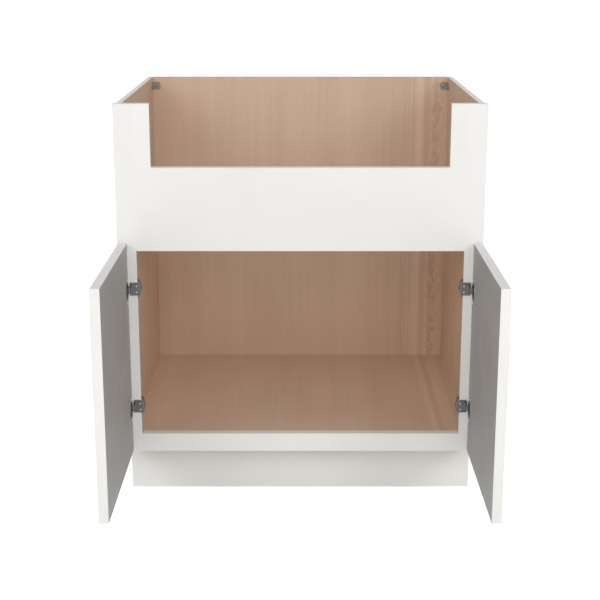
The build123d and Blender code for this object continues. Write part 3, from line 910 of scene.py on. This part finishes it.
class CABINET_OT_cup_screws(bpy.types.Operator):
    """Drives the screws of the hinge cups into the doors"""
    bl_idname = "cabinet.cup_screws"
    bl_label = "Hinge cup screws"

    def execute(self, context):
        settings = context.scene.cabinet_fasteners
        for side in SIDES:
            cup = f"hinge_cup_{side}_upper"
            places = hinge_pairs(side, "hinge_cup", settings.cup_spacing,
                                 (inner_x(cup, side), middle(cup).y), towards(side))
            piece = screws(f"cup_screw_heads_{side}", places, screw_steel(context), settings,
                           settings.screw_length)
            hang(piece, f"door_{side}", [f"cup_screws_{side}"])
        return {"FINISHED"}


class CABINET_OT_plate_screws(bpy.types.Operator):
    """Drives the screws of the hinge plates into the stiles' inner edges"""
    bl_idname = "cabinet.plate_screws"
    bl_label = "Hinge plate screws"

    def execute(self, context):
        settings = context.scene.cabinet_fasteners
        places = []
        for side in SIDES:
            stile = f"stile_{side}"
            face = inner_x(stile, side) + settings.plate_wall * towards(side).x
            places += hinge_pairs(side, "hinge_plate", settings.plate_spacing,
                                  (face, middle(stile).y), towards(side))
        piece = screws("plate_screw_heads", places, screw_steel(context), settings,
                       settings.screw_length)
        hang(piece, "root", ["hinge_plate_screws"])
        return {"FINISHED"}


class CABINET_OT_depth_cams(bpy.types.Operator):
    """Sets the depth-adjusting cams on the hinge plates' crowns"""
    bl_idname = "cabinet.depth_cams"
    bl_label = "Depth cams"

    def execute(self, context):
        settings = context.scene.cabinet_fasteners
        places = []
        for side in SIDES:
            for level in LEVELS:
                plate = f"hinge_plate_{side}_{level}"
                point = Vector((inner_x(plate, side), middle(f"stile_{side}").y, middle(plate).z))
                places.append((point, towards(side)))
        piece = fasteners(
            "depth_cam_heads", places, bpy.data.materials["nickel_plate"],
            (settings.cam_head, settings.cam_dome, settings.screw_shank, settings.cam_length),
            (settings.cam_recess, settings.cam_bar, settings.cam_depth))
        hang(piece, "root", ["depth_cam_screws"])
        return {"FINISHED"}


class CABINET_OT_rivets(bpy.types.Operator):
    """Closes the domed rivets that hold the hinge arms on their plates"""
    bl_idname = "cabinet.rivets"
    bl_label = "Hinge rivets"

    def execute(self, context):
        settings = context.scene.cabinet_fasteners
        places = []
        for side in SIDES:
            stile = f"stile_{side}"
            x = inner_x(stile, side) - settings.rivet_inset * towards(side).x
            y = corners(stile)[0].y - (settings.plate_wall + settings.arm_wall)
            places += hinge_pairs(side, "hinge_plate", settings.rivet_spacing, (x, y), FORWARD)
        sizes = (settings.rivet_head, settings.rivet_dome, settings.rivet_shank,
                 settings.rivet_length)
        piece = fasteners("rivet_domes", places, screw_steel(context), sizes)
        hang(piece, "root", ["arm_rivets"])
        return {"FINISHED"}


class CABINET_OT_bracket_screws(bpy.types.Operator):
    """Drives the screws of the corner brackets"""
    bl_idname = "cabinet.bracket_screws"
    bl_label = "Corner bracket screws"

    def execute(self, context):
        settings = context.scene.cabinet_fasteners
        wall = settings.bracket_wall
        places = []
        for side in SIDES:
            low, high = corners(f"corner_bracket_{side}")
            height = (low.z + high.z) / 2
            inward = towards(side)
            corner = high.x if side == "right" else low.x
            along = (high.x - low.x) / 2 + wall
            places += [
                (Vector((corner + along * inward.x, high.y - wall, height)), FORWARD),
                (Vector((corner + wall * inward.x, high.y - along, height)), inward)]
        piece = screws("bracket_screw_heads", places, bpy.data.materials["zinc_plate"], settings,
                       settings.bracket_screw)
        hang(piece, "root", ["bracket_screws"])
        return {"FINISHED"}


# ---- studio ----
def own_tree(block):
    """The node tree of a material or world, emptied."""
    block.use_nodes = True
    block.node_tree.nodes.clear()
    return block.node_tree


def seen_rays(tree):
    """1 on rays that a viewer sees straight, in a mirror or through glass."""
    rays = tree.nodes.new("ShaderNodeLightPath").outputs
    return either(tree, rays["Is Camera Ray"],
                  either(tree, rays["Is Glossy Ray"], rays["Is Transmission Ray"]))


class CABINET_OT_studio(bpy.types.Operator):
    """Sets the floor, the light and the camera"""
    bl_idname = "cabinet.studio"
    bl_label = "Studio"

    def execute(self, context):
        settings = context.scene.cabinet_studio
        self.lay_floor(settings)
        self.light_room(settings)
        for name, power_setting, turn, height, side in LAMPS:
            self.hang_light(name, getattr(settings, power_setting), turn, height, side)
        self.place_camera(settings)
        context.scene.view_settings.view_transform = "Standard"
        return {"FINISHED"}

    def lay_floor(self, settings):
        mesh = bpy.data.meshes.new("studio_floor")
        shape = bmesh.new()
        bmesh.ops.create_grid(shape, x_segments=2, y_segments=2, size=FLOOR_REACH)
        shape.to_mesh(mesh)
        shape.free()
        floor = new_object("studio_floor", mesh)
        floor.data.materials.append(self.floor_material(settings))

    def floor_material(self, settings):
        """A plain pale floor that looks white where no shadow falls on it."""
        material = bpy.data.materials.new("studio_floor")
        tree = own_tree(material)
        plain = result(tree, "ShaderNodeBsdfDiffuse", {"Color": as_rgba(settings.floor)})
        bright = result(tree, "ShaderNodeBsdfDiffuse", {"Color": WHITE})
        place = tree.nodes.new("ShaderNodeTexCoord").outputs["Object"]
        away = add_node(tree, "ShaderNodeVectorMath", {0: place}, operation="LENGTH")
        glow = ramp(tree, away.outputs["Value"], *LIFT_RANGE, settings.floor_lift, FAR_LIFT)
        lift = result(tree, "ShaderNodeEmission", {"Color": WHITE, "Strength": glow})
        lifted = result(tree, "ShaderNodeAddShader", {0: bright, 1: lift})
        mixed = result(tree, "ShaderNodeMixShader", {0: seen_rays(tree), 1: plain, 2: lifted})
        add_node(tree, "ShaderNodeOutputMaterial", {"Surface": mixed})
        return material

    def light_room(self, settings):
        """Even light all round, which looks white where it is seen."""
        world = bpy.data.worlds.new("studio")
        bpy.context.scene.world = world
        tree = own_tree(world)
        strength = blend_numbers(tree, seen_rays(tree), settings.ambient, 1.0)
        back = result(tree, "ShaderNodeBackground", {"Color": WHITE, "Strength": strength})
        add_node(tree, "ShaderNodeOutputWorld", {"Surface": back})

    def hang_light(self, name, energy, azimuth, elevation, side):
        """A square soft light that looks at the cabinet's middle from in front."""
        light = bpy.data.lights.new(name, "AREA")
        light.shape = "SQUARE"
        light.size = side
        light.energy = energy
        lamp = new_object(name, light)
        turn = Euler((math.pi / 2 - math.radians(elevation), 0, math.radians(azimuth)))
        lamp.location = LIGHT_TARGET - LIGHT_DISTANCE * (turn.to_matrix() @ Vector((0, 0, -1)))
        lamp.rotation_euler = turn

    def place_camera(self, settings):
        front = corners("stile_right")[0].y
        camera = bpy.data.cameras.new("photo_camera")
        camera.lens = settings.lens
        camera.sensor_width = SENSOR_WIDTH
        camera.shift_x = settings.shift
        rig = new_object("photo_camera", camera)
        rig.location = (0, front - settings.distance, settings.height)
        rig.rotation_euler = Euler((math.pi / 2 - settings.pitch, 0, 0))
        bpy.context.scene.camera = rig


# ---- panel ----
STEPS = (
    CABINET_OT_paint_frame, CABINET_OT_paint_doors, CABINET_OT_veneer_sides,
    CABINET_OT_veneer_panels, CABINET_OT_plate_hinges, CABINET_OT_cup_screws,
    CABINET_OT_plate_screws, CABINET_OT_depth_cams, CABINET_OT_rivets, CABINET_OT_bracket_screws,
    CABINET_OT_studio,
)
SETTINGS = {
    "cabinet_paint": PaintSettings,
    "cabinet_veneer": VeneerSettings,
    "cabinet_steel": SteelSettings,
    "cabinet_fasteners": FastenerSettings,
    "cabinet_studio": StudioSettings,
}


class CABINET_PT_steps(bpy.types.Panel):
    """The cabinet's pieces and settings"""
    bl_idname = "CABINET_PT_steps"
    bl_label = "Sink base cabinet"
    bl_space_type = "VIEW_3D"
    bl_region_type = "UI"
    bl_category = "Cabinet"

    def draw(self, context):
        for step in STEPS:
            self.layout.operator(step.bl_idname)
        for name in SETTINGS:
            column = self.layout.column(align=True)
            settings = getattr(context.scene, name)
            for field in settings.__annotations__:
                column.prop(settings, field)


def register():
    for settings in SETTINGS.values():
        bpy.utils.register_class(settings)
    for name, settings in SETTINGS.items():
        setattr(bpy.types.Scene, name, bpy.props.PointerProperty(type=settings))
    for step in (*STEPS, CABINET_PT_steps):
        bpy.utils.register_class(step)


def unregister():
    for step in (*STEPS, CABINET_PT_steps):
        bpy.utils.unregister_class(step)
    for name, settings in SETTINGS.items():
        delattr(bpy.types.Scene, name)
        bpy.utils.unregister_class(settings)


def main():
    register()
    for step in STEPS:
        family, name = step.bl_idname.split(".")
        getattr(getattr(bpy.ops, family), name)()


if __name__ == "__main__":
    main()
